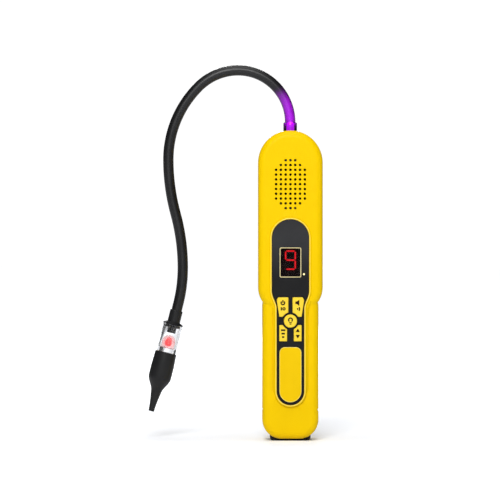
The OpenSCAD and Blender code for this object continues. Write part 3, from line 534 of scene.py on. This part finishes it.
def key_box(node):
    """Inner, lower, outer and upper edge of a key's cap, about the round key's middle."""
    low, high = box_mm(node)
    return low.x + KEY_LIP, low.z + KEY_LIP - key_mid, high.x - KEY_LIP, high.z - KEY_LIP - key_mid


print("round key:", 2 * ROUND_KEY_RADIUS, "mm across, at", round(key_mid, 1), "mm")

# %% Outlines of the keys
def cut_by_ring(corners):
    """Replaces the corner next to the round key by the arc of the ring that it leaves free."""
    near = min(range(len(corners)), key=lambda i: math.hypot(*corners[i]))
    corner = corners[near]

    def meet(outer):
        """Where the edge from outer to the near corner meets the ring, found by halving."""
        low, high = 0.0, 1.0
        for _ in range(40):
            half = (low + high) / 2
            away = math.hypot(*(o + (c - o) * half for o, c in zip(outer, corner)))
            low, high = (half, high) if away > RING_RADIUS else (low, half)
        return [o + (c - o) * low for o, c in zip(outer, corner)]

    a, b = (math.atan2(z, x) for x, z in (meet(corners[near - 1]), meet(corners[(near + 1) % len(corners)])))
    turns = [a + (b - a) * i / RING_PARTS for i in range(RING_PARTS + 1)]
    arc = [(RING_RADIUS * math.cos(turn), RING_RADIUS * math.sin(turn)) for turn in turns]
    return corners[:near] + arc + corners[near + 1:]


inner, low, _, high = key_box("key_upper_right")
upper = [(inner, high), (UPPER_OUT - UPPER_CHAMFER[0], high), (UPPER_OUT, high - UPPER_CHAMFER[1]),
         (UPPER_OUT_LOW, low), (inner, low)]
inner, low, outer, high = key_box("key_lower_right")
lower = [(inner, high), (outer, high), (outer, low), (inner, low)]
turns = [2 * math.pi * i / ROUND_KEY_SIDES for i in range(ROUND_KEY_SIDES)]
outlines = {"round": [(ROUND_KEY_RADIUS * math.cos(turn), ROUND_KEY_RADIUS * math.sin(turn)) for turn in turns]}
for name, corners in (("upper_right", cut_by_ring(upper)), ("lower_right", cut_by_ring(lower))):
    outlines[name] = corners
    outlines[name.replace("right", "left")] = [(-x, z) for x, z in reversed(corners)]
print("key outlines:", {name: len(points) for name, points in outlines.items()})

# %% Build the caps
EDGE_ROUND = 0.5 * MM
ROUND_STEPS = 5
EDGE_ANGLE = math.radians(30)


def raised_shapes(name, shapes, back, front, finish):
    """Flat [x, z] shapes about the round key's middle, raised from one depth to another."""
    work = bmesh.new()
    for shape in shapes:
        face = work.faces.new([work.verts.new(Vector((x, back, key_mid + z)) * MM) for x, z in shape])
        raised = bmesh.ops.extrude_face_region(work, geom=[face])
        moved = [v for v in raised["geom"] if isinstance(v, bmesh.types.BMVert)]
        bmesh.ops.translate(work, verts=moved, vec=(0, (front - back) * MM, 0))
    bmesh.ops.recalc_face_normals(work, faces=work.faces)
    mesh = mesh_of(name, work)
    mesh.materials.append(finish)
    return add_object(name, mesh)


for name, outline in outlines.items():
    cap = raised_shapes("cap_" + name, [outline], key_back, key_front, finishes["yellow_key"])
    cap.data.shade_smooth()
    soft = cap.modifiers.new("soft", "BEVEL")
    soft.width = EDGE_ROUND
    soft.segments = ROUND_STEPS
    soft.limit_method = "ANGLE"
    soft.angle_limit = EDGE_ANGLE
    soft.use_clamp_overlap = False
    stand_for(weigh_normals(cap), "key_" + name)
print("caps:", len(outlines))

# %% [markdown]
# ## Bright beads round the panel and the label
# In the photograph a thin bright line runs round the dark panel, and a fainter one round the label: polished edges
# that catch the light. A fine glossy bead, paler than the shell, is swept along each outline and gives that line:
# partly a painted highlight in its pale colour, partly the light it really catches. The same tree as for the neck
# does it, with no ribs. The boxes of the two CAD pieces give most of the outlines.

# %% Outlines of the panel and the label, in millimetres
PANEL_WAIST, PANEL_TAIL = 97.0, 85.6
TAIL_RADIUS = 8.85
WAIST_PARTS = 12
panel_low, panel_high = box_mm("control_panel")
label_low, label_high = box_mm("label_plate")


def arc_points(x, z, radius, start, end, parts):
    """Points on an arc, from one angle to another in degrees."""
    angles = [math.radians(start + (end - start) * i / parts) for i in range(parts + 1)]
    return [(x + radius * math.cos(a), z + radius * math.sin(a)) for a in angles]


top_radius = panel_high.x
side = []
for i in range(1, WAIST_PARTS):
    t = i / WAIST_PARTS
    side.append((TAIL_RADIUS + (top_radius - TAIL_RADIUS) * (1 + math.cos(math.pi * t)) / 2,
                 PANEL_WAIST - (PANEL_WAIST - PANEL_TAIL) * t))
right = [(top_radius, PANEL_WAIST)] + side + [(TAIL_RADIUS, PANEL_TAIL)]
panel_line = (arc_points(0, panel_high.z - top_radius, top_radius, 180, 0, 40) + right
              + arc_points(0, panel_low.z + TAIL_RADIUS, TAIL_RADIUS, 0, -180, 32)
              + [(-x, z) for x, z in reversed(right)])

end_radius = label_high.x
corner = end_radius / 2
corner_z = label_high.z - corner
label_line = (arc_points(0, label_low.z + end_radius, end_radius, 180, 360, 32)
              + arc_points(corner, corner_z, corner, 0, 90, 12)
              + arc_points(-corner, corner_z, corner, 90, 180, 12))
print("outline points:", len(panel_line), len(label_line))

# %% Sweep the beads
BEAD_STEP = 0.7 * MM
BEAD_SIDES = 12


def grown(points, out):
    """Moves a closed outline outwards, whichever way round it runs."""
    area = sum(p[0] * q[1] - q[0] * p[1] for p, q in zip(points, points[1:] + points[:1]))
    side = math.copysign(1, area)
    moved = []
    for before, here, after in zip(points[-1:] + points[:-1], points, points[1:] + points[:1]):
        a = (Vector(here) - Vector(before)).normalized()
        b = (Vector(after) - Vector(here)).normalized()
        normal = Vector((a.y + b.y, -a.x - b.x)).normalized() * side
        moved.append(tuple(Vector(here) + normal * out / normal.dot(Vector((a.y, -a.x)) * side)))
    return moved


# Each bead is a painted highlight: a pale glossy line along the panel's or the label's edge.
for name, outline, out, y, radius in (("panel_bead", panel_line, 0.5, -15.82, 0.26),
                                      ("label_bead", label_line, -0.15, -15.22, 0.18)):
    bead = run_tree(path_piece(name, grown(outline, out), y, True), sweep_tree, Radius=radius * MM, Pitch=1.0,
                    Depth=0.0, Step=BEAD_STEP, Sides=BEAD_SIDES, Finish=finishes["bead_gloss"])
    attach(bead, "housing")
    print(name, len(bead.data.polygons), "faces")

# %% [markdown]
# ## Icons on the keys
# Each real key carries small dark print. Plain icons of the same scale stand on these keys: on and off, sound,
# level, reset and lamp. Each icon is a few flat shapes that are given a very small thickness, like a layer of ink,
# and it rides on its own key, so it goes in when the key is pressed.

# %% Flat shapes for icons, in millimetres about the round key's middle
INK = 0.05
INK_SUNK = 0.12


def bar(x, z, w, h):
    return [(x - w / 2, z - h / 2), (x + w / 2, z - h / 2), (x + w / 2, z + h / 2), (x - w / 2, z + h / 2)]


def ring_part(x, z, radius, width, start, end, parts=20):
    """A curved band, from one angle to another in degrees."""
    return (arc_points(x, z, radius + width / 2, start, end, parts)
            + arc_points(x, z, radius - width / 2, end, start, parts))


icons = {
    "upper_left": [ring_part(-4.9, 11.7, 1.15, 0.85, 130, 410), bar(-4.9, 12.7, 0.8, 1.7),
                   bar(-5.9, 7.9, 0.85, 2.1), ring_part(-4.2, 7.9, 0.72, 0.75, 0.5, 359.5)],
    "upper_right": [[(3.2, 11.0), (4.2, 11.0), (5.7, 9.8), (5.7, 13.8), (4.2, 12.6), (3.2, 12.6)],
                    ring_part(4.0, 7.8, 0.65, 0.8, -50, 50, 8), ring_part(4.0, 7.8, 1.85, 0.8, -38, 38, 8)],
    "round": [ring_part(0, 0.75, 1.2, 0.85, -55, 235), bar(0, -1.0, 1.7, 0.6), bar(0, -1.95, 1.1, 0.6)],
    "lower_left": [bar(-4.7, -5.9, 2.9, 1.1), bar(-4.7, -8.1, 2.2, 1.1), bar(-4.7, -10.3, 1.5, 1.1)],
    "lower_right": [[(3.3, -7.1), (6.1, -7.1), (4.7, -4.8)], [(3.3, -8.9), (4.7, -11.2), (6.1, -8.9)]],
}

# %% Print them
for name, shapes in icons.items():
    icon = raised_shapes("icon_" + name, shapes, key_front + INK_SUNK, key_front - INK, finishes["icon_print"])
    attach(icon, "button_" + name)
print("icons:", len(icons))

# %% [markdown]
# ## Case screws
# Four screws hold the back on. Each sits in a deep well and has a domed head with a cross recess. One screw is
# modelled, and a small tree puts a copy on each of four points, which is how repeated hardware is best made:
# change the screw once and all four follow.

# %% One screw with a cross recess, in millimetres
HEAD_RADIUS, HEAD_HEIGHT = 2.1, 1.6
SHANK_RADIUS = 1.1
SHANK_POINT = 0.6
RECESS_REACH, RECESS_HALF, RECESS_DEPTH = 1.25, 0.28, 0.7
DOME_PARTS = 6
SCREW_SIDES = 24
screws_low, screws_high = box_mm("case_screws")
seat_y = screws_high.y - HEAD_HEIGHT
shank = seat_y - screws_low.y


def turned(name, profile, sides):
    """Turns [radius, depth] points about the Y axis."""
    work = bmesh.new()
    verts = [work.verts.new((r * MM, y * MM, 0)) for r, y in profile]
    edges = [work.edges.new(pair) for pair in zip(verts, verts[1:])]
    bmesh.ops.spin(work, geom=verts + edges, axis=(0, 1, 0), cent=(0, 0, 0), steps=sides, angle=2 * math.pi)
    bmesh.ops.remove_doubles(work, verts=work.verts, dist=MERGE)
    bmesh.ops.recalc_face_normals(work, faces=work.faces)
    return add_object(name, mesh_of(name, work))


def block(name, low, high):
    work = bmesh.new()
    bmesh.ops.create_cube(work, size=1)
    for v in work.verts:
        v.co = [MM * (a if c < 0 else b) for c, a, b in zip(v.co, low, high)]
    return add_object(name, mesh_of(name, work))


dome = [(0, HEAD_HEIGHT)]
for i in range(1, DOME_PARTS + 1):
    a = math.pi / 2 * i / DOME_PARTS
    dome.append((HEAD_RADIUS * math.sin(a), HEAD_HEIGHT * (0.35 + 0.65 * math.cos(a))))
screw = turned("screw_model", dome + [(HEAD_RADIUS, 0), (SHANK_RADIUS, 0), (SHANK_RADIUS, SHANK_POINT - shank),
                                      (0, -shank)], SCREW_SIDES)
for w, h in ((RECESS_REACH, RECESS_HALF), (RECESS_HALF, RECESS_REACH)):
    cutter = block("recess_cutter", (-w, HEAD_HEIGHT - RECESS_DEPTH, -h), (w, HEAD_HEIGHT + 1, h))
    cut = screw.modifiers.new("recess", "BOOLEAN")
    cut.object = cutter
    plain_mesh(screw)
    bpy.data.objects.remove(cutter)
screw.data.shade_smooth()
screw.data.set_sharp_from_angle(angle=SHARP)
print("screw:", len(screw.data.polygons), "faces, shank", round(shank, 1), "mm")

# %% Copy it to four places
SCREW_PLACES = ((13.1, 16.0), (12.749, 190.25))


def copies_tree(name, **inputs):
    """A tree that puts a copy of something on each point; gives the tree, its inputs and the copier."""
    tree, given, result = new_tree(name, Finish="Material", **inputs)
    copies = tree.nodes.new("GeometryNodeInstanceOnPoints")
    tree.links.new(given["Geometry"], copies.inputs["Points"])
    finish_tree(tree, given, result, copies.outputs["Instances"])
    return tree, given, copies


def points_piece(name, points):
    mesh = bpy.data.meshes.new(name)
    mesh.from_pydata(points, [], [])
    return add_object(name, mesh)


tree, given, copies = copies_tree("case_screws", Model="Object")
model = tree.nodes.new("GeometryNodeObjectInfo")
link_all(tree, (given["Model"], model.inputs["Object"]), (model.outputs["Geometry"], copies.inputs["Instance"]))
screws = points_piece("cross_screws", [Vector((side * x, seat_y, z)) * MM
                                       for x, z in SCREW_PLACES for side in (-1, 1)])
stand_for(run_tree(screws, tree, Model=screw, Finish=finishes["steel"]), "case_screws")
bpy.data.objects.remove(screw)
print("screws:", 2 * len(SCREW_PLACES), "with", len(screws.data.polygons), "faces")

# %% [markdown]
# ## Contacts in the charging socket
# The socket's tongue carries a row of small gold contacts on each face. A grid of points and one thin bar are all
# that the tree needs, because each contact is the same.

# %% Gold contacts, in millimetres
CONTACT = Vector((4.6, 0.08, 0.3))
CONTACT_STEP = 0.55
CONTACTS = 9
CONTACT_IN = 4.2
TONGUE_HALF = 0.35
socket_low, socket_high = box_mm("charge_socket")
socket_mid = (socket_low + socket_high) / 2

tree, given, copies = copies_tree("socket_contacts", Size="Vector")
strip = tree.nodes.new("GeometryNodeMeshCube")
link_all(tree, (given["Size"], strip.inputs["Size"]), (strip.outputs["Mesh"], copies.inputs["Instance"]))
rows = [(i - (CONTACTS - 1) / 2) * CONTACT_STEP for i in range(CONTACTS)]
contacts = points_piece("socket_contacts", [
    Vector((socket_high.x - CONTACT_IN, socket_mid.y + side * TONGUE_HALF, socket_mid.z + row)) * MM
    for side in (-1, 1) for row in rows])
run_tree(contacts, tree, Size=CONTACT * MM, Finish=finishes["contact_gold"])
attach(contacts, "housing")
print("contacts:", 2 * CONTACTS)

# %% [markdown]
# ## Red lamp in the clear cap
# The alarm lamp is a clear lens with a bright red core. A small rounded core inside the lens glows by itself, two
# thin shells round it soften its edge, and a red point light in the same place tints the cap's walls. The light
# hangs on the sensor head's body, so it goes with the head.

# %% Glowing core and its light, in millimetres
CORE_AT = 26.0
CORE_TAPER = 0.1
GLOWS = (("lamp_core", 1.5, 2.4), ("lamp_bloom", 2.2, 3.0), ("lamp_halo", 3.8, 3.8))
head_start, head_end = (Vector((x, 0, z)) for x, z in route[-2:])
head_axis = (head_end - head_start).normalized()
core_place = head_start + head_axis * CORE_AT
tilt = head_axis.to_track_quat("-Z", "Y").to_matrix()
for name, radius, half in GLOWS:
    work = bmesh.new()
    bmesh.ops.create_uvsphere(work, u_segments=32, v_segments=20, radius=1)
    for v in work.verts:
        r = radius * (1.0 - CORE_TAPER * v.co.z)
        v.co = (core_place + tilt @ Vector((v.co.x * r, v.co.y * r, v.co.z * half))) * MM
    mesh = mesh_of(name, work)
    mesh.shade_smooth()
    mesh.materials.append(finishes[name])
    glowing = add_object(name, mesh)
    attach(glowing, "sensor_head")
red_glow = add_object("red_glow", bpy.data.lights.new("red_glow", "POINT"))
red_glow.data.color = (1.0, 0.03, 0.05)
red_glow.data.energy = 0.012
red_glow.data.shadow_soft_size = 0.5 * MM
red_glow.location = core_place * MM
red_glow.parent = frame["bodies"]["sensor_head"]
print("core at:", [round(v, 1) for v in core_place])

# %% [markdown]
# ## Ultraviolet light
# The small lamp on the dome shines up along the neck and colours it magenta. A spot light in front of the lamp
# does the same for the eye. It is left out of reflections, which would whiten the colour, and it is a light, so it
# adds no geometry to the part.

# %% Spot light for the lamp, in millimetres
SPOT_AHEAD = 22
SPOT_TARGET = Vector((-1.5, 0, 215))
uv_low, uv_high = box_mm("uv_lamp")
uv_glow = add_object("uv_glow", bpy.data.lights.new("uv_glow", "SPOT"))
uv_glow.data.color = (0.62, 0.0, 1.0)
uv_glow.data.energy = 5.8
uv_glow.data.spot_size = math.radians(52)
uv_glow.data.spot_blend = 0.9
uv_glow.data.shadow_soft_size = 1.5 * MM
uv_glow.visible_glossy = False
uv_glow.location = Vector(((uv_low.x + uv_high.x) / 2, (uv_low.y + uv_high.y) / 2 - SPOT_AHEAD, uv_high.z)) * MM
aim(uv_glow, SPOT_TARGET * MM)
print("spot at:", [round(v / MM, 1) for v in uv_glow.location])
